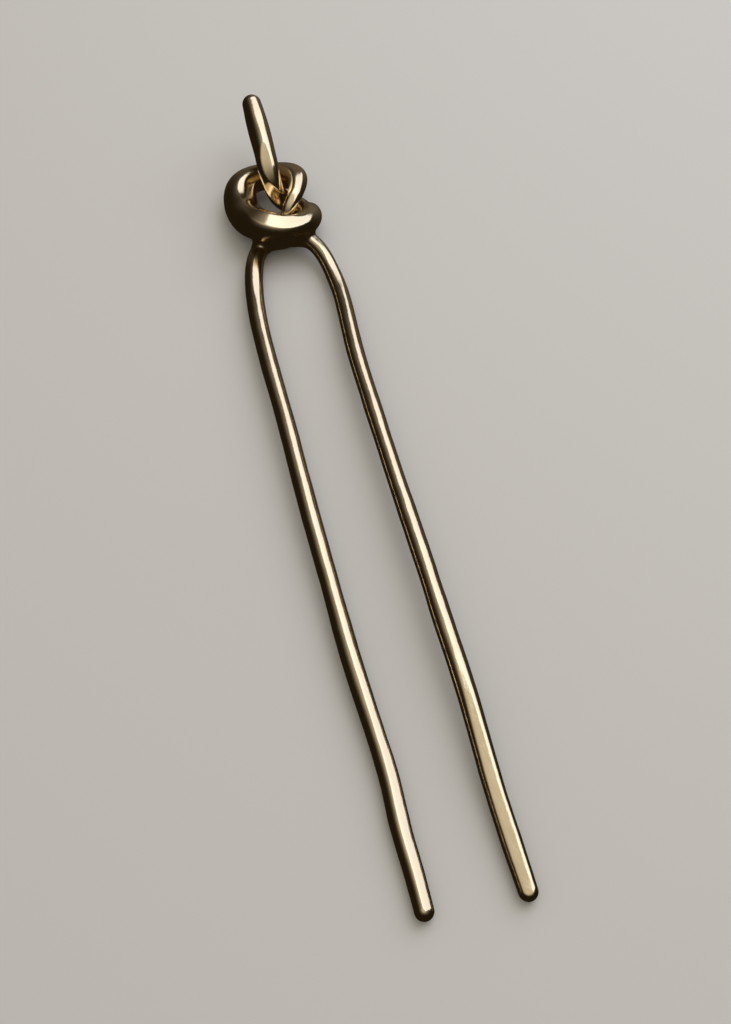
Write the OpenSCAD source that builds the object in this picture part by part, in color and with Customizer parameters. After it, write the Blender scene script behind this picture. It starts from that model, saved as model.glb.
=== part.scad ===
// A hairpin in one piece of soldered metal. Two round prongs and the low arch
// between them are bent from one wire. A thicker rod is tied in an overhand
// knot on that arch: its free end stands on past the knot as a straight post,
// and its thin end runs under the knot and is soldered into the arch.
//
// The pin lies flat: X is across, Y runs from the prong tips to the post, and
// Z = 0 is the surface that it lies on. Lengths are in millimetres.

/* [Fork] */
// Thickness of the wire that the fork is bent from
wire_d = 2.8; // [2.4:0.1:3.0]
// Distance between the middles of the two prongs
prong_spacing = 13; // [12.5:0.1:13.5]
// Length from the prong tips to the middle of the crown
prong_length = 112; // [80:1:140]

/* [Knot] */
// Thickness that the knotted rod's thick and thin stretches are shares of
rod_d = 4; // [3.6:0.1:4.1]
// Length of the post, from the middle of the knot's top strand to its end
post_length = 11; // [6:1:24]

/* [Sections] */
// Sides of each round section
wire_sides = 16; // [12:4:24]
// Sections between two rows of the fork's tables
fork_steps = 3; // [2:1:6]
// Sections between two rows of the rod's tables
rod_steps = 4; // [3:1:8]
// Rings that round off each end
cap_rings = 4; // [3:1:8]

/* [Hidden] */

// Columns of a section. Its place is that of its middle.
ACROSS = 0;
ALONG = 1;
LIFT = 2;
WIDE = 3;
TALL = 4;

// Sizes at which the fork's tables are written
table_spacing = 13;
table_length = 112;
table_wire = 2.8;
// Where the middle of the crown lies along the pin
crown_along = 43.5;

// The tables below have a row for each section that guides the wire. Across,
// along and lift are places; wide and tall are shares of wire_d or rod_d.

// Left prong from its tip: across, along, lift, wide, tall
LEFT_PRONG = [
    [-6.20, -66.5, 1.4, 0.94, 0.94],
    [-6.10, -61.0, 1.4, 1.00, 0.98],
    [-6.30, -55.5, 1.5, 1.00, 0.98],
    [-5.90, -50.0, 1.6, 1.02, 0.98],
    [-6.00, -44.0, 1.8, 0.94, 0.96],
    [-6.45, -37.0, 2.0, 1.00, 0.98],
    [-6.65, -29.0, 2.2, 1.03, 1.00],
    [-6.65, -19.0, 2.4, 0.98, 0.98],
    [-6.75,  -9.0, 2.7, 0.98, 0.98],
    [-6.65,   1.0, 2.8, 0.98, 0.98],
    [-6.50,  10.0, 2.8, 0.97, 0.98],
    [-6.60,  19.0, 2.7, 0.98, 0.98],
    [-6.50,  26.0, 2.5, 1.00, 1.00],
];

// Crown from the left shoulder to the right: across, along, lift, wide, tall
CROWN = [
    [-6.1, 31.5, 2.4, 1.02, 1.00],
    [-5.3, 36.5, 2.1, 1.02, 1.00],
    [-4.2, 40.5, 1.9, 1.02, 1.00],
    [-2.6, 42.8, 1.8, 1.00, 1.00],
    [-0.4, 43.5, 1.8, 1.00, 1.00],
    [ 1.8, 43.3, 1.8, 1.00, 1.00],
    [ 3.8, 42.0, 2.8, 1.00, 1.00],
    [ 5.1, 41.0, 2.9, 0.95, 0.96],
    [ 6.3, 38.6, 2.4, 0.92, 0.96],
    [ 6.9, 35.1, 1.9, 0.88, 0.96],
];

// Right prong from its shoulder: across, along, lift, wide, tall
RIGHT_PRONG = [
    [7.20,  30.0, 2.2, 0.95, 0.96],
    [6.80,  24.5, 2.7, 0.95, 0.96],
    [6.30,  18.0, 3.0, 0.95, 0.96],
    [6.30,   8.0, 3.3, 0.97, 0.96],
    [6.30,  -2.0, 3.5, 0.98, 0.98],
    [6.40, -12.0, 3.7, 0.98, 0.98],
    [6.60, -22.0, 3.8, 1.00, 0.98],
    [6.55, -30.0, 3.7, 1.03, 1.00],
    [6.85, -38.0, 3.4, 1.03, 1.00],
    [6.70, -46.0, 2.9, 1.00, 0.98],
    [6.55, -54.0, 2.2, 1.02, 1.00],
    [6.75, -61.0, 1.6, 1.02, 1.00],
    [6.90, -67.3, 1.4, 0.94, 0.94],
];

// Where the post leaves the knot, and how much it rises for each millimetre
post_across = 1.2;
post_along = 56.3;
post_lift = 8;
post_rise = 0.17;

// Post from its round end: reach as a share of its length, wide, tall
POST_REACH = 0;
POST_WIDE = 1;
POST_TALL = 2;
POST = [
    [1.00, 0.78, 0.80],
    [0.68, 0.89, 0.97],
    [0.34, 0.88, 1.02],
    [0.00, 0.86, 1.00],
];

// Knot from the post to the soldered end: across, along, lift, wide, tall
KNOT = [
    // under the small right loop
    [ 1.10, 53.9, 7.7, 0.90, 0.92],
    [ 1.15, 51.8, 6.1, 0.80, 0.84],
    [ 1.95, 50.2, 3.4, 0.79, 0.79],
    [ 4.10, 50.0, 2.0, 0.84, 0.84],
    // the turn at the right
    [ 6.10, 47.8, 1.9, 0.95, 0.95],
    [ 6.00, 45.2, 3.8, 0.98, 0.98],
    // the front strand, over the soldered end
    [ 4.50, 42.7, 5.0, 0.98, 0.98],
    [ 2.00, 41.8, 5.6, 1.02, 1.02],
    [-0.60, 42.3, 5.8, 1.20, 1.20],
    // the thick left loop
    [-2.90, 44.2, 5.5, 1.32, 1.32],
    [-4.20, 48.7, 2.8, 1.40, 1.35],
    [-4.10, 53.3, 2.8, 1.38, 1.35],
    // the top strand, under the post
    [-2.60, 55.6, 3.0, 1.18, 1.18],
    [ 0.30, 56.3, 3.0, 1.04, 1.04],
    [ 3.30, 55.3, 3.4, 1.16, 1.10],
    // the small right loop
    [ 5.40, 53.4, 4.8, 1.08, 1.00],
    [ 5.20, 50.6, 5.6, 0.75, 0.75],
    [ 3.90, 47.9, 5.7, 0.58, 0.58],
    // under the front strand to the crown
    [ 2.60, 46.4, 5.0, 0.54, 0.54],
    [ 1.80, 45.5, 3.2, 0.52, 0.52],
    [ 1.20, 44.6, 1.8, 0.52, 0.52],
    [ 0.60, 43.3, 1.7, 0.55, 0.55],
];

// Solder between the front strand and the crown: across, along, lift, wide, tall
SOLDER = [
    [-2.8, 42.8, 2.4, 0.50, 0.50],
    [-1.6, 42.8, 2.7, 0.66, 0.66],
    [ 0.6, 42.8, 3.0, 0.60, 0.60],
    [ 2.6, 42.5, 3.4, 0.50, 0.50],
];

// Rows of the fork at the sizes chosen above
function fork_row(row) = [
    row[ACROSS] * prong_spacing / table_spacing,
    crown_along + (row[ALONG] - crown_along) * prong_length / table_length,
    row[LIFT] + (wire_d - table_wire) / 2,
    row[WIDE] * wire_d,
    row[TALL] * wire_d
];
FORK = [for (row = concat(LEFT_PRONG, CROWN, RIGHT_PRONG)) fork_row(row)];

// Rows of the knotted rod and of the solder at the sizes chosen above
function rod_row(row) = [
    row[ACROSS],
    row[ALONG],
    row[LIFT],
    row[WIDE] * rod_d,
    row[TALL] * rod_d
];
// The post's first row is the middle of its round end
post_reach = post_length - POST[0][POST_WIDE] * rod_d / 2;
function post_row(row) = [
    post_across,
    post_along + row[POST_REACH] * post_reach,
    post_lift + row[POST_REACH] * post_reach * post_rise,
    row[POST_WIDE] * rod_d,
    row[POST_TALL] * rod_d
];
ROD = concat(
    [for (row = POST) post_row(row)],
    [for (row = KNOT) rod_row(row)]
);
SOLDER_ROWS = [for (row = SOLDER) rod_row(row)];

// The two ends of the pin, and the shift that puts its middle at the origin
tip_row = FORK[len(FORK) - 1];
tip_end = tip_row[ALONG] - tip_row[WIDE] / 2;
post_end = post_along + post_length;
to_middle = -(tip_end + post_end) / 2;

// A cubic B-spline: each row pulls the line towards itself, and the line
// bends evenly from one row to the next
function pull(a, b, c, d, t) = (
    pow(1 - t, 3) * a
    + (3 * pow(t, 3) - 6 * pow(t, 2) + 4) * b
    + (-3 * pow(t, 3) + 3 * pow(t, 2) + 3 * t + 1) * c
    + pow(t, 3) * d
) / 6;
// Rows along the spline, which begins and ends on the table's end rows
function smooth(rows, steps) =
    let (
        last = len(rows) - 1,
        before = 2 * rows[0] - rows[1],
        after = 2 * rows[last] - rows[last - 1],
        r = concat([before], rows, [after])
    )
    concat(
        [
            for (i = [0 : last - 1], k = [0 : steps - 1])
                pull(r[i], r[i + 1], r[i + 2], r[i + 3], k / steps)
        ],
        [rows[last]]
    );

function place(row) = [row[ACROSS], row[ALONG], row[LIFT]];
function unit(v) = v / norm(v);
// Direction of the wire at row i
function ahead_at(rows, i) =
    unit(place(rows[min(i + 1, len(rows) - 1)]) - place(rows[max(i - 1, 0)]));
// A ring of points round a row, slid along the wire and shrunk
function ring(row, ahead, slide = 0, shrink = 1) =
    let (
        side = unit(cross(ahead, [0, 0, 1])),
        above = cross(side, ahead),
        middle = place(row) + slide * ahead
    )
    [
        for (j = [0 : wire_sides - 1])
            let (turn = 360 * j / wire_sides)
            middle
                + side * (cos(turn) * shrink * row[WIDE] / 2)
                + above * (sin(turn) * shrink * row[TALL] / 2)
    ];
// Rings that round off an end; outward is -1 at the start and 1 at the end
function cap(row, ahead, outward) = [
    for (k = [1 : cap_rings - 1])
        let (lean = 90 * k / cap_rings)
        ring(row, ahead, outward * sin(lean) * row[WIDE] / 2, cos(lean))
];
function backwards(list) = [for (i = [len(list) - 1 : -1 : 0]) list[i]];

// A round bar along the rows, with round ends
module bar(rows) {
    last = len(rows) - 1;
    start_ahead = ahead_at(rows, 0);
    end_ahead = ahead_at(rows, last);
    rings = concat(
        backwards(cap(rows[0], start_ahead, -1)),
        [for (i = [0 : last]) ring(rows[i], ahead_at(rows, i))],
        cap(rows[last], end_ahead, 1)
    );
    start_pole = place(rows[0]) - start_ahead * rows[0][WIDE] / 2;
    end_pole = place(rows[last]) + end_ahead * rows[last][WIDE] / 2;
    ring_points = [for (r = rings, p = r) p];
    points = concat(ring_points, [start_pole, end_pole]);
    start_at = len(ring_points);
    end_at = start_at + 1;
    last_ring = (len(rings) - 1) * wire_sides;
    faces = concat(
        [
            for (j = [0 : wire_sides - 1])
                [start_at, (j + 1) % wire_sides, j]
        ],
        [
            for (i = [0 : len(rings) - 2], j = [0 : wire_sides - 1], half = [0, 1])
                let (
                    here = i * wire_sides,
                    next = here + wire_sides,
                    k = (j + 1) % wire_sides
                )
                half == 0
                    ? [here + j, here + k, next + k]
                    : [here + j, next + k, next + j]
        ],
        [
            for (j = [0 : wire_sides - 1])
                [last_ring + j, last_ring + (j + 1) % wire_sides, end_at]
        ]
    );
    polyhedron(points, faces, convexity = 10);
}

module fork() {
    color("burlywood")
        bar(smooth(FORK, fork_steps));
}

module knotted_rod() {
    color("tan")
        bar(smooth(ROD, rod_steps));
}

module solder() {
    color("goldenrod")
        bar(smooth(SOLDER_ROWS, rod_steps));
}

// The whole pin, soldered into one piece
module hairpin() {
    translate([0, to_middle, 0]) {
        fork();
        knotted_rod();
        solder();
    }
}

hairpin();
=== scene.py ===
from math import cos, pi, radians, sin

import bpy
import numpy as np
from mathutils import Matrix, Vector, noise


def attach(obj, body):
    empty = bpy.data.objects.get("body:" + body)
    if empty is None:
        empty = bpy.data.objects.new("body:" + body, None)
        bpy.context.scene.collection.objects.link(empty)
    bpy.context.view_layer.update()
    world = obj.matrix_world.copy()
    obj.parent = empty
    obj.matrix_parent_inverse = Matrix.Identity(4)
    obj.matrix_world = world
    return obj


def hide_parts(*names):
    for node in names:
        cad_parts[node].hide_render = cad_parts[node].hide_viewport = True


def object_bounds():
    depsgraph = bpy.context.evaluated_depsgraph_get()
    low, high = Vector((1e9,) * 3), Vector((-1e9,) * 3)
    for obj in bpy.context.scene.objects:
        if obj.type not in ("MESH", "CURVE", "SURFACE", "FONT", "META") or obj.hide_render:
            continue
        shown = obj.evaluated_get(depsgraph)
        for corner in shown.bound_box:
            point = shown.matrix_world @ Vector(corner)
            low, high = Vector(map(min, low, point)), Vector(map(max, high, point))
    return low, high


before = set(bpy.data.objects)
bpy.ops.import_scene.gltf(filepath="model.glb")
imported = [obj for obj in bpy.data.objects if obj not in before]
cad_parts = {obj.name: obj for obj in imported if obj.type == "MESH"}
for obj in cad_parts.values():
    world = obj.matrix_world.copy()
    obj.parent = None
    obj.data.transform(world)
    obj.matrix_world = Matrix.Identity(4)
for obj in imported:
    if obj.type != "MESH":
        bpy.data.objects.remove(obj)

cad_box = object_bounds()

# The hairpin is one piece of soldered metal: a fork of two prongs, and on its
# arch a thicker rod that is tied in an overhand knot. Its shape follows the
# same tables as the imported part, in millimetres: each row guides the wire.
MM = 0.001

# Columns of a table. Wide and tall are shares of the wire's or the rod's thickness.
ACROSS, ALONG, LIFT, WIDE, TALL, LEAN = range(6)
WIRE = 2.8
ROD = 4.0

# Left prong from its tip: across, along, lift, wide, tall
LEFT_PRONG = [
    (-6.20, -66.5, 1.4, 0.94, 0.94),
    (-6.10, -61.0, 1.4, 1.00, 0.98),
    (-6.30, -55.5, 1.5, 1.00, 0.98),
    (-5.90, -50.0, 1.6, 1.02, 0.98),
    (-6.00, -44.0, 1.8, 0.94, 0.96),
    (-6.45, -37.0, 2.0, 1.00, 0.98),
    (-6.65, -29.0, 2.2, 1.03, 1.00),
    (-6.65, -19.0, 2.4, 0.98, 0.98),
    (-6.75, -9.0, 2.7, 0.98, 0.98),
    (-6.65, 1.0, 2.8, 0.98, 0.98),
    (-6.50, 10.0, 2.8, 0.97, 0.98),
    (-6.60, 19.0, 2.7, 0.98, 0.98),
    (-6.50, 26.0, 2.5, 1.00, 1.00),
]

# Crown from the left shoulder to the right: across, along, lift, wide, tall
CROWN = [
    (-6.1, 31.5, 2.4, 1.02, 1.00),
    (-5.3, 36.5, 2.1, 1.02, 1.00),
    (-4.2, 40.5, 1.9, 1.02, 1.00),
    (-2.6, 42.8, 1.8, 1.00, 1.00),
    (-0.4, 43.5, 1.8, 1.00, 1.00),
    (1.8, 43.3, 1.8, 1.00, 1.00),
    (3.8, 42.0, 2.8, 1.00, 1.00),
    (5.1, 41.0, 2.9, 0.95, 0.96),
    (6.3, 38.6, 2.4, 0.92, 0.96),
    (6.9, 35.1, 1.9, 0.88, 0.96),
]

# Right prong from its shoulder: across, along, lift, wide, tall
RIGHT_PRONG = [
    (7.20, 30.0, 2.2, 0.95, 0.96),
    (6.80, 24.5, 2.7, 0.95, 0.96),
    (6.30, 18.0, 3.0, 0.95, 0.96),
    (6.30, 8.0, 3.3, 0.97, 0.96),
    (6.30, -2.0, 3.5, 0.98, 0.98),
    (6.40, -12.0, 3.7, 0.98, 0.98),
    (6.60, -22.0, 3.8, 1.00, 0.98),
    (6.55, -30.0, 3.7, 1.03, 1.00),
    (6.85, -38.0, 3.4, 1.03, 1.00),
    (6.70, -46.0, 2.9, 1.00, 0.98),
    (6.55, -54.0, 2.2, 1.02, 1.00),
    (6.75, -61.0, 1.6, 1.02, 1.00),
    (6.90, -67.3, 1.4, 0.94, 0.94),
]

# Where the post leaves the knot, its rise for each millimetre, and its sections' lean in degrees
POST_ACROSS = 1.2
POST_ALONG = 56.3
POST_LIFT = 8.0
POST_RISE = 0.17
POST_LENGTH = 11.0
POST_LEAN = 10

# Post from its round end: reach as a share of its length, wide, tall
POST = [
    (1.00, 0.78, 0.80),
    (0.68, 0.89, 0.97),
    (0.34, 0.88, 1.02),
    (0.00, 0.86, 1.00),
]

# Knot from the post to the soldered end: across, along, lift, wide, tall
KNOT = [
    (1.10, 53.9, 7.7, 0.90, 0.92),
    (1.15, 51.8, 6.1, 0.80, 0.84),
    (1.95, 50.2, 3.4, 0.79, 0.79),
    (4.10, 50.0, 2.0, 0.84, 0.84),
    (6.10, 47.8, 1.9, 0.95, 0.95),
    (6.00, 45.2, 3.8, 0.98, 0.98),
    (4.50, 42.7, 5.0, 0.98, 0.98),
    (2.00, 41.8, 5.6, 1.02, 1.02),
    (-0.60, 42.3, 5.8, 1.20, 1.20),
    (-2.90, 44.2, 5.5, 1.32, 1.32),
    (-4.20, 48.7, 2.8, 1.40, 1.35),
    (-4.10, 53.3, 2.8, 1.38, 1.35),
    (-2.60, 55.6, 3.0, 1.18, 1.18),
    (0.30, 56.3, 3.0, 1.04, 1.04),
    (3.30, 55.3, 3.4, 1.16, 1.10),
    (5.40, 53.4, 4.8, 1.08, 1.00),
    (5.20, 50.6, 5.6, 0.75, 0.75),
    (3.90, 47.9, 5.7, 0.58, 0.58),
    (2.60, 46.4, 5.0, 0.54, 0.54),
    (1.80, 45.5, 3.2, 0.52, 0.52),
    (1.20, 44.6, 1.8, 0.52, 0.52),
    (0.60, 43.3, 1.7, 0.55, 0.55),
]

# Solder between the front strand and the crown: across, along, lift, wide, tall
SOLDER = [
    (-2.8, 42.8, 2.4, 0.50, 0.50),
    (-1.6, 42.8, 2.7, 0.66, 0.66),
    (0.6, 42.8, 3.0, 0.60, 0.60),
    (2.6, 42.5, 3.4, 0.50, 0.50),
]

# How far solder fills the corner between two bars
FILLET = 1.0

# Net of the surface: cells are this wide, and grow longer below the knot, along the plain
# prongs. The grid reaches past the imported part's box by the margin.
CELL = 0.17
PRONG_CELL = 0.42
KNOT_START = 38.0
CELL_GROWTH = 8.0
MARGIN = 0.6

# Blocks of space that are measured first, and how many blocks away from the surface the
# cells are still measured one by one
BLOCK = 0.8
BLOCK_SPREAD = 1.3

# Share of the way to their neighbours' middle that each round moves the net's points. The
# first round only lays them on the surface.
EVENING = (0, 0.5, 0.5, 0.5, 0.3, 0.2)

# Least divisor, and the sharpest edge of a facet
TINY = 1e-9
SHARP = 1e-6

# Unevenness of the hand-worked surface: wave size and depth. The surface is sunk by about
# as much as its waves stand up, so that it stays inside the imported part's box.
UNEVEN = [
    (6.0, 0.06),
    (2.2, 0.02),
]
SINK = 0.04

# Facets from the hammer and file, each along a stretch of a bar: the row of the bar's
# tables that it is centred on, its angle from above to the right as the bar runs, depth,
# reach in rows, softness of its edges
FORK_FACETS = [
    (1.5, 25, 0.15, 7.0, 0.20),
    (13.8, 12, 0.10, 1.3, 0.06),
    (15.6, -30, 0.30, 1.4, 0.20),
    (20.0, -20, 0.18, 1.2, 0.14),
    (22.2, -10, 0.10, 1.2, 0.10),
    (34.0, 2, 0.26, 7.0, 0.15),
]
ROD_FACETS = [
    (1.0, 4, 0.10, 2.2, 0.10),
    (3.9, 14, 0.22, 1.3, 0.10),
    (5.8, 48, 0.35, 1.4, 0.20),
    (10.0, 10, 0.20, 1.2, 0.10),
    (11.4, -8, 0.30, 2.4, 0.05),
    (14.2, 35, 0.30, 3.0, 0.30),
    (14.7, 15, 0.20, 1.3, 0.10),
    (19.6, -12, 0.12, 1.6, 0.08),
    (21.4, -5, 0.10, 1.0, 0.08),
]

# Creases pressed in: across, along, lift, size, depth
DENTS = [
    (6.35, 48.7, 3.0, 0.9, 0.45),
]


def thick(rows, size, lean=0):
    """The rows as an array, with thickness in millimetres, not as a share of size, and the lean."""
    table = np.array(rows, float)
    table[:, WIDE:] *= size
    return np.column_stack([table, np.full(len(table), lean)])


def post_rows():
    """The post's rows in the knot's columns. Its first row is the middle of its round end."""
    length = POST_LENGTH - POST[0][1] * ROD / 2
    return [
        (POST_ACROSS, POST_ALONG + share * length, POST_LIFT + POST_RISE * share * length, wide, tall)
        for share, wide, tall in POST
    ]


fork_rows = thick(LEFT_PRONG + CROWN + RIGHT_PRONG, WIRE)
rod_rows = np.vstack([thick(post_rows(), ROD, POST_LEAN), thick(KNOT, ROD)])
solder_rows = thick(SOLDER, ROD)

# The pin's middle lies at the origin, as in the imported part
tip_end = fork_rows[-1][ALONG] - fork_rows[-1][WIDE] / 2
post_end = POST_ALONG + POST_LENGTH
to_middle = -(tip_end + post_end) / 2


def spline(rows, steps):
    """Points of the cubic B-spline that the rows pull, from the first row to the last."""
    around = np.vstack([2 * rows[0] - rows[1], rows, 2 * rows[-1] - rows[-2]])
    t = np.arange(steps)[:, None] / steps
    pulls = ((1 - t) ** 3, 3 * t**3 - 6 * t**2 + 4, -3 * t**3 + 3 * t**2 + 3 * t + 1, t**3)
    stretches = [
        sum(pull * around[i + k] for k, pull in enumerate(pulls)) / 6
        for i in range(len(rows) - 1)
    ]
    return np.vstack(stretches + [rows[-1:]])


def unit(v):
    return v / np.maximum(np.linalg.norm(v, axis=-1, keepdims=True), TINY)


def dot(a, b):
    return (a * b).sum(axis=-1)


def corner(away, other, soft):
    """The rounding between two surfaces: the lesser one's share of the way out, and its height."""
    near = np.clip(1 - np.abs(other - away) / soft, 0, 1)
    return near / 2, near**2 * soft / 4


class Bar:
    """A bent bar with round ends: oval sections at an even gap along its spline."""

    # Millimetres between sections, spline points for each row, sections for each first guess
    # of the nearest, and points that are worked on at a time
    GAP = 0.1
    STEPS = 60
    STRIDE = 6
    CHUNK = 1000

    def __init__(self, rows, facets=()):
        fine = spline(rows, self.STEPS)
        fine[:, ALONG] += to_middle
        steps = np.linalg.norm(np.diff(fine[:, :WIDE], axis=0), axis=1)
        run = np.concatenate([[0], np.cumsum(steps)])
        at = np.linspace(0, run[-1], int(run[-1] / self.GAP) + 1)
        table = np.column_stack([np.interp(at, run, column) for column in fine.T])
        self.gap = at[1]
        self.middle = table[:, :WIDE]
        self.half = table[:, WIDE:LEAN] / 2
        self.ahead = unit(np.gradient(self.middle, axis=0))
        side = unit(np.cross(self.ahead, (0, 0, 1)))
        above = np.cross(side, self.ahead)
        lean = np.radians(table[:, LEAN:])
        self.side = np.cos(lean) * side + np.sin(lean) * above
        self.above = np.cos(lean) * above - np.sin(lean) * side
        self.facets = [self.facet(run[::self.STEPS], *facet) for facet in facets]

    def facet(self, run, row, angle, depth, rows, soft):
        """A facet's middle and half length in sections, the way it faces, depth and softness."""
        ends = (row - rows, row, row + rows)
        first, middle, last = np.interp(ends, np.arange(len(run)), run) / self.gap
        way = np.array((sin(radians(angle)), cos(radians(angle))))
        return middle, (last - first) / 2, way, depth, soft

    def nearest(self, points):
        """The section whose surface is nearest to each point, by its number."""
        centres = self.middle[::self.STRIDE].astype("float32")
        radius = self.half[::self.STRIDE].mean(axis=1).astype("float32")
        number = np.empty(len(points))
        for start in range(0, len(points), self.CHUNK):
            part = points[start:start + self.CHUNK].astype("float32")
            away = part @ (-2 * centres.T)
            away += dot(part, part)[:, None]
            away += dot(centres, centres)
            np.maximum(away, 0, out=away)
            np.sqrt(away, out=away)
            away -= radius
            number[start:start + self.CHUNK] = away.argmin(axis=1) * self.STRIDE
        return number

    def refined(self, points, place, rounds):
        """The place of each point along the bar, in sections, from a place close to it."""
        for _ in range(rounds):
            slide = dot(points - self.at(self.middle, place), self.at(self.ahead, place))
            place = np.clip(place + slide / self.gap, 0, len(self.middle) - 1)
        return place

    def at(self, column, place):
        """A column's values at places between its sections."""
        index = np.minimum(place.astype(int), len(self.middle) - 2)
        share = (place - index)[:, None]
        return column[index] * (1 - share) + column[index + 1] * share

    def reach(self, points, place):
        """How far points are from the surface, the way out, and their spot on the bar made straight."""
        offset = points - self.at(self.middle, place)
        half = self.at(self.half, place)
        ways = [self.at(way, place) for way in (self.side, self.above, self.ahead)]
        half = np.column_stack([half, half[:, 0]])
        local = np.column_stack([dot(offset, way) for way in ways])
        scaled = np.maximum(np.linalg.norm(local / half, axis=1), TINY)
        slope = local / half**2 / scaled[:, None]
        steep = np.maximum(np.linalg.norm(slope, axis=1), TINY)
        out = sum(slope[:, k:k + 1] * way for k, way in enumerate(ways)) / steep[:, None]
        straight = np.column_stack([local[:, :2], place * self.gap + local[:, 2]])
        away = (scaled - 1) / steep
        for middle, length, way, depth, soft in self.facets:
            strength = np.clip(1 - ((place - middle) / length)**2, 0, 1)**2
            edge = np.linalg.norm(half[:, :2] * way, axis=1) - depth * strength
            face = np.where(strength > 0, local[:, :2] @ way - edge, -np.inf)
            share, rise = corner(away, face, soft * strength + SHARP)
            share = np.where(face > away, 1 - share, share)[:, None]
            away = np.maximum(away, face) + rise
            out = out + share * (way[0] * ways[0] + way[1] * ways[1] - out)
        return away, out, straight


bars = [Bar(fork_rows, FORK_FACETS), Bar(rod_rows, ROD_FACETS), Bar(solder_rows)]


def reach(points, places):
    """How far each point is from the pin's surface, with solder in the corners."""
    away, out, straight = bars[0].reach(points, places[0])
    for bar, place in zip(bars[1:], places[1:]):
        other, other_out, other_straight = bar.reach(points, place)
        share, rise = corner(away, other, FILLET)
        share = np.where(other < away, 1 - share, share)[:, None]
        away = np.minimum(away, other) - rise
        out = out + share * (other_out - out)
        straight = straight + share * (other_straight - straight)
    return away, unit(out), straight


def grid_lines(low, high):
    """Lines of the grid along each axis, from corner low to corner high."""
    across = np.arange(low[ACROSS], high[ACROSS], CELL)
    lift = np.arange(low[LIFT], high[LIFT], CELL)
    along = [high[ALONG]]
    while along[-1] > low[ALONG]:
        below_knot = (KNOT_START - along[-1]) / CELL_GROWTH
        along.append(along[-1] - np.interp(below_knot, (0, 1), (CELL, PRONG_CELL)))
    return across, np.array(along[::-1]), lift


def placed(points, rounds):
    """The place of each point along each bar."""
    return [bar.refined(points, bar.nearest(points), rounds) for bar in bars]


def sampled(lines):
    """How far the grid's corners are from the surface: true near it, a nearby block's elsewhere."""
    coarse = [np.arange(line[0], line[-1] + BLOCK, BLOCK) for line in lines]
    corners = np.stack(np.meshgrid(*coarse, indexing="ij"), axis=-1)
    flat = corners.reshape(-1, 3)
    away = reach(flat, placed(flat, rounds=1))[0].reshape(corners.shape[:3])
    value = away[np.ix_(*[np.round((line - line[0]) / BLOCK).astype(int) for line in lines])]
    close = np.abs(value) < BLOCK * BLOCK_SPREAD
    index = np.argwhere(close)
    points = np.column_stack([line[index[:, k]] for k, line in enumerate(lines)])
    value[close] = reach(points, placed(points, rounds=3))[0]
    return value


def netted(value, lines):
    """A net of quads where value changes sign, with one point in each cell that it crosses."""
    inside = value < 0
    count = sum(
        inside[i:i - 1 or None, j:j - 1 or None, k:k - 1 or None].astype(int)
        for i in (0, 1) for j in (0, 1) for k in (0, 1)
    )
    crossed = (count > 0) & (count < 8)
    number = np.full(crossed.shape, -1)
    number[crossed] = np.arange(crossed.sum())
    cells = np.argwhere(crossed)
    points = np.column_stack([
        (line[cells[:, k]] + line[cells[:, k] + 1]) / 2 for k, line in enumerate(lines)
    ])
    quads = []
    for axis, others in enumerate(((1, 2), (0, 2), (0, 1))):
        edges = np.argwhere(np.diff(inside, axis=axis))
        around = []
        for moves in ((0, 0), (-1, 0), (-1, -1), (0, -1)):
            cell = edges.copy()
            cell[:, others] += moves
            around.append(number[tuple(cell.T)])
        quad = np.stack(around, axis=1)
        flip = inside[tuple(edges.T)] == (axis == 1)
        quad[flip] = quad[flip, ::-1]
        quads.append(quad)
    return points, np.vstack(quads)


def settled(points, quads):
    """The net's points evened out over the surface and laid on it."""
    edges = np.vstack([quads[:, [k, (k + 1) % 4]] for k in range(4)])
    count = np.bincount(edges.ravel(), minlength=len(points))
    places = placed(points, rounds=8)
    for move in EVENING:
        total = np.column_stack([
            np.bincount(edges[:, 0], points[edges[:, 1], k], len(points))
            + np.bincount(edges[:, 1], points[edges[:, 0], k], len(points))
            for k in range(3)
        ])
        points = points + move * (total / count[:, None] - points)
        for _ in range(2):
            places = [bar.refined(points, place, rounds=2) for bar, place in zip(bars, places)]
            away, out, straight = reach(points, places)
            points = points - away[:, None] * out
    return points, out, straight


def worked(points, out):
    """The surface as the hand leaves it: slightly uneven, with creases."""
    rough = np.array([
        sum(deep * noise.noise(Vector(point) / size) for size, deep in UNEVEN)
        for point in points.tolist()
    ])
    points = points + (rough - SINK)[:, None] * out
    for across, along, lift, size, depth in DENTS:
        away = np.linalg.norm(points - (across, along + to_middle, lift), axis=1) / size
        points = points - (depth * np.exp(-away**2))[:, None] * out
    return points


corners = np.array(cad_box) / MM
lines = grid_lines(corners[0] - MARGIN, corners[1] + MARGIN)
points, quads = netted(sampled(lines), lines)
points, out, straight = settled(points, quads)
points = worked(points, out)


# Pale brass: its tint between two colours, its roughness between two values, and the
# depth of its fine marks
PALE = (0.93, 0.78, 0.53, 1)
DEEP = (0.87, 0.70, 0.44, 1)
SMOOTH = 0.12
SATIN = 0.18
MARK_DEPTH = 0.006 * MM

# Grains of the metal: waves for each millimetre across, up and along the bar, and detail
PATCHES = ((0.30, 0.30, 0.18), 2)
MOTTLE = ((3.2, 3.2, 2.4), 3)
STROKES = ((9.0, 9.0, 0.7), 2)

# The strokes' noise where the metal is smoothest and where it is roughest, and the depth
# of the strokes' marks as a share of the mottle's
STROKE_LOW = 0.3
STROKE_HIGH = 0.7
STROKE_SHARE = 0.5


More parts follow.
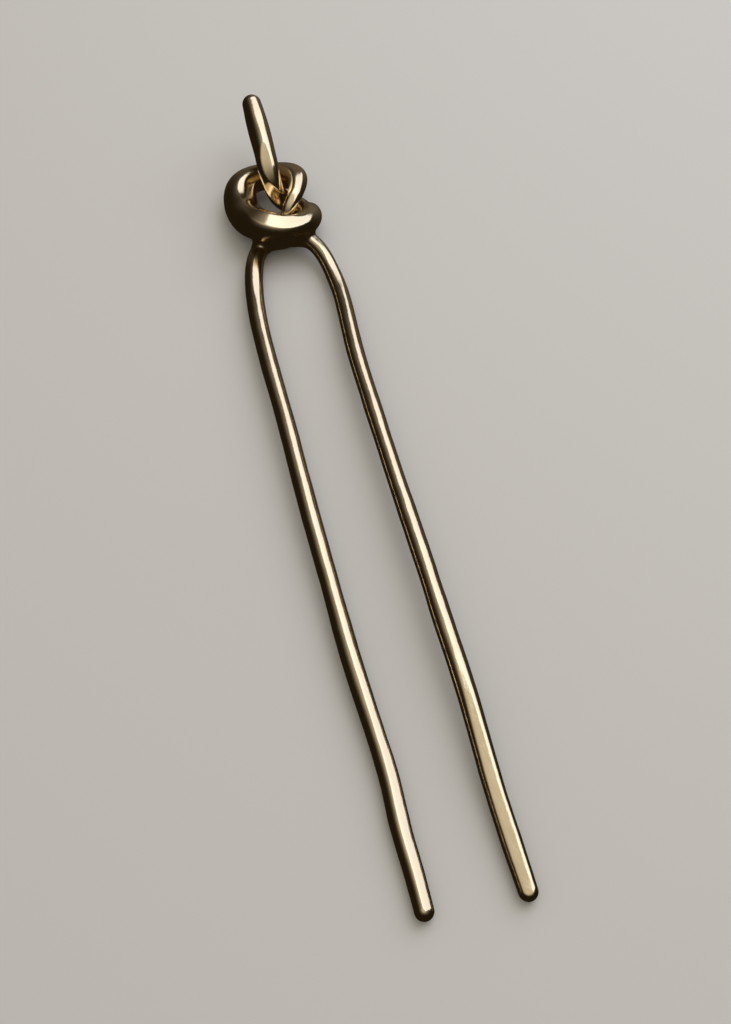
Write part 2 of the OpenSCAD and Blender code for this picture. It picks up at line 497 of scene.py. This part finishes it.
def metal():
    """Pale brass, polished by hand to a satin."""
    material = bpy.data.materials.new("pale_brass")
    material.use_nodes = True
    nodes = material.node_tree.nodes
    links = material.node_tree.links
    shader = nodes["Principled BSDF"]
    shader.inputs["Metallic"].default_value = 1

    straight = nodes.new("ShaderNodeAttribute")
    straight.attribute_name = "straight"

    def grain(stretch, detail):
        """Noise in the straight bar's own millimetres, drawn out along it."""
        mapping = nodes.new("ShaderNodeMapping")
        mapping.inputs["Scale"].default_value = stretch
        links.new(straight.outputs["Vector"], mapping.inputs["Vector"])
        texture = nodes.new("ShaderNodeTexNoise")
        texture.inputs["Scale"].default_value = 1
        texture.inputs["Detail"].default_value = detail
        links.new(mapping.outputs["Vector"], texture.inputs["Vector"])
        return texture.outputs["Fac"]

    patches = grain(*PATCHES)
    mottle = grain(*MOTTLE)
    strokes = grain(*STROKES)

    tint = nodes.new("ShaderNodeMix")
    tint.data_type = "RGBA"
    tint.inputs["A"].default_value = PALE
    tint.inputs["B"].default_value = DEEP
    links.new(patches, tint.inputs["Factor"])
    links.new(tint.outputs["Result"], shader.inputs["Base Color"])

    polish = nodes.new("ShaderNodeMapRange")
    polish.inputs["From Min"].default_value = STROKE_LOW
    polish.inputs["From Max"].default_value = STROKE_HIGH
    polish.inputs["To Min"].default_value = SMOOTH
    polish.inputs["To Max"].default_value = SATIN
    links.new(strokes, polish.inputs["Value"])
    links.new(polish.outputs["Result"], shader.inputs["Roughness"])

    marks = nodes.new("ShaderNodeMath")
    marks.operation = "MULTIPLY_ADD"
    marks.inputs[1].default_value = STROKE_SHARE
    links.new(strokes, marks.inputs[0])
    links.new(mottle, marks.inputs[2])
    bump = nodes.new("ShaderNodeBump")
    bump.inputs["Strength"].default_value = 1
    bump.inputs["Distance"].default_value = MARK_DEPTH
    links.new(marks.outputs["Value"], bump.inputs["Height"])
    links.new(bump.outputs["Normal"], shader.inputs["Normal"])
    return material


mesh = bpy.data.meshes.new("hairpin_metal")
mesh.from_pydata((points * MM).tolist(), [], quads.tolist())
mesh.update()
mesh.shade_smooth()
straight_at = mesh.attributes.new("straight", "FLOAT_VECTOR", "POINT")
straight_at.data.foreach_set("vector", straight.ravel())
mesh.materials.append(metal())
pin = bpy.data.objects.new("hairpin_metal", mesh)
bpy.context.scene.collection.objects.link(pin)
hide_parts("hairpin")
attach(pin, "root")

# Camera: the photograph's angle to the pin
VIEW_TURN = radians(-14.3)
VIEW_DROP = radians(58)
VIEW_DISTANCE = 229 * MM
LOOKED_AT = Vector((1.3, -8.0 + to_middle, 0)) * MM
PHOTO_TALL = 1024
FOCAL_PIXELS = 1606
SENSOR = 36
NEAREST_SEEN = 10 * MM

camera_data = bpy.data.cameras.new("camera")
camera_data.sensor_width = SENSOR
camera_data.lens = SENSOR * FOCAL_PIXELS / PHOTO_TALL
camera_data.clip_start = NEAREST_SEEN
camera = bpy.data.objects.new("camera", camera_data)
bpy.context.scene.collection.objects.link(camera)
back = Vector((
    sin(VIEW_TURN) * cos(VIEW_DROP),
    -cos(VIEW_TURN) * cos(VIEW_DROP),
    sin(VIEW_DROP),
))
camera.location = LOOKED_AT + back * VIEW_DISTANCE
camera.rotation_euler = (-back).to_track_quat("-Z", "Y").to_euler()
bpy.context.scene.camera = camera


def heading(turn, rise):
    """The way to a light, from its turn to the right of straight ahead and its rise in degrees."""
    turn = radians(turn) - VIEW_TURN
    rise = radians(rise)
    return Vector((sin(turn) * cos(rise), cos(turn) * cos(rise), sin(rise)))


# Window: a panel behind the pin, high at the right of the view
WINDOW_TURN = 41
WINDOW_RISE = 50
WINDOW_DISTANCE = 450 * MM
WINDOW_SIZE = 460 * MM
WINDOW_BRIGHT = 1.10
WINDOW_TINT = (0.93, 0.98, 1.17)


def window(aim):
    """The panel light that draws the long highlights."""
    light = bpy.data.lights.new("window", "AREA")
    light.shape = "SQUARE"
    light.size = WINDOW_SIZE
    light.energy = WINDOW_BRIGHT * pi * WINDOW_SIZE**2
    light.color = WINDOW_TINT
    panel = bpy.data.objects.new("window", light)
    bpy.context.scene.collection.objects.link(panel)
    way = heading(WINDOW_TURN, WINDOW_RISE)
    panel.location = aim + way * WINDOW_DISTANCE
    panel.rotation_euler = way.to_track_quat("Z", "Y").to_euler()
    panel.visible_camera = False


# Ceiling and a low board at the back that glow softly in a dim warm room, the fill that
# only matt things get, and the wall that the camera sees
CEILING = (1.04, 0.98, 0.86)
CEILING_BRIGHT = 0.6
CEILING_FALL = 6
BOARD = (1.0, 0.90, 0.76)
BOARD_TURN = 12
BOARD_BRIGHT = 0.11
BOARD_FALL = 5
ROOM = (0.015, 0.0105, 0.006)
FILL = (0.315, 0.30, 0.275)
WALL = (0.50, 0.49, 0.47)


def studio():
    """A dim room with a soft ceiling, seen as a plain pale wall by the camera."""
    world = bpy.data.worlds.new("studio")
    world.use_nodes = True
    nodes = world.node_tree.nodes
    links = world.node_tree.links
    nodes.clear()
    ray = nodes.new("ShaderNodeLightPath")

    def background(colour):
        """Even light of that colour."""
        node = nodes.new("ShaderNodeBackground")
        node.inputs["Color"].default_value = (*colour, 1)
        return node.outputs["Background"]

    def choice(ray_kind, other, shown):
        """What rays of that kind see, and what the others do."""
        mix = nodes.new("ShaderNodeMixShader")
        links.new(ray.outputs[ray_kind], mix.inputs["Fac"])
        links.new(other, mix.inputs[1])
        links.new(shown, mix.inputs[2])
        return mix.outputs["Shader"]

    def reckoned(operation, first, second):
        """The result of a sum on a socket and a number."""
        node = nodes.new("ShaderNodeMath")
        node.operation = operation
        links.new(first, node.inputs[0])
        node.inputs[1].default_value = second
        return node.outputs["Value"]

    place = nodes.new("ShaderNodeNewGeometry")

    def glow(way, colour, bright, fall):
        """A glow that is brightest that way, and fades as a power of the cosine."""
        near = nodes.new("ShaderNodeVectorMath")
        near.operation = "DOT_PRODUCT"
        near.inputs[1].default_value = way
        links.new(place.outputs["Position"], near.inputs[0])
        strength = reckoned("POWER", reckoned("MAXIMUM", near.outputs["Value"], 0), fall)
        light = background(colour)
        links.new(reckoned("MULTIPLY", strength, bright), light.node.inputs["Strength"])
        return light

    def both(first, second):
        """Two lights added up."""
        node = nodes.new("ShaderNodeAddShader")
        links.new(first, node.inputs[0])
        links.new(second, node.inputs[1])
        return node.outputs["Shader"]

    ceiling = glow((0, 0, 1), CEILING, CEILING_BRIGHT, CEILING_FALL)
    board = glow(heading(BOARD_TURN, 0), BOARD, BOARD_BRIGHT, BOARD_FALL)
    room = choice("Is Diffuse Ray", background(ROOM), background(FILL))
    seen = choice("Is Camera Ray", both(both(ceiling, board), room), background(WALL))
    links.new(seen, nodes.new("ShaderNodeOutputWorld").inputs["Surface"])
    return world


window(LOOKED_AT)
bpy.context.scene.world = studio()
bpy.context.scene.view_settings.view_transform = "Standard"

# Floor of pale paper, in metres
FLOOR_HALF = 6.0
PAPER = (0.80, 0.775, 0.72, 1)
PAPER_ROUGH = 0.9
floor_mesh = bpy.data.meshes.new("floor")
floor_mesh.from_pydata(
    [(x * FLOOR_HALF, y * FLOOR_HALF, 0) for x, y in ((-1, -1), (1, -1), (1, 1), (-1, 1))],
    [],
    [(0, 1, 2, 3)],
)
floor = bpy.data.objects.new("floor", floor_mesh)
bpy.context.scene.collection.objects.link(floor)
paper = bpy.data.materials.new("paper")
paper.use_nodes = True
paper_shader = paper.node_tree.nodes["Principled BSDF"]
paper_shader.inputs["Base Color"].default_value = PAPER
paper_shader.inputs["Roughness"].default_value = PAPER_ROUGH
floor_mesh.materials.append(paper)
# The metal reflects the dim room and not the floor
floor.visible_glossy = False
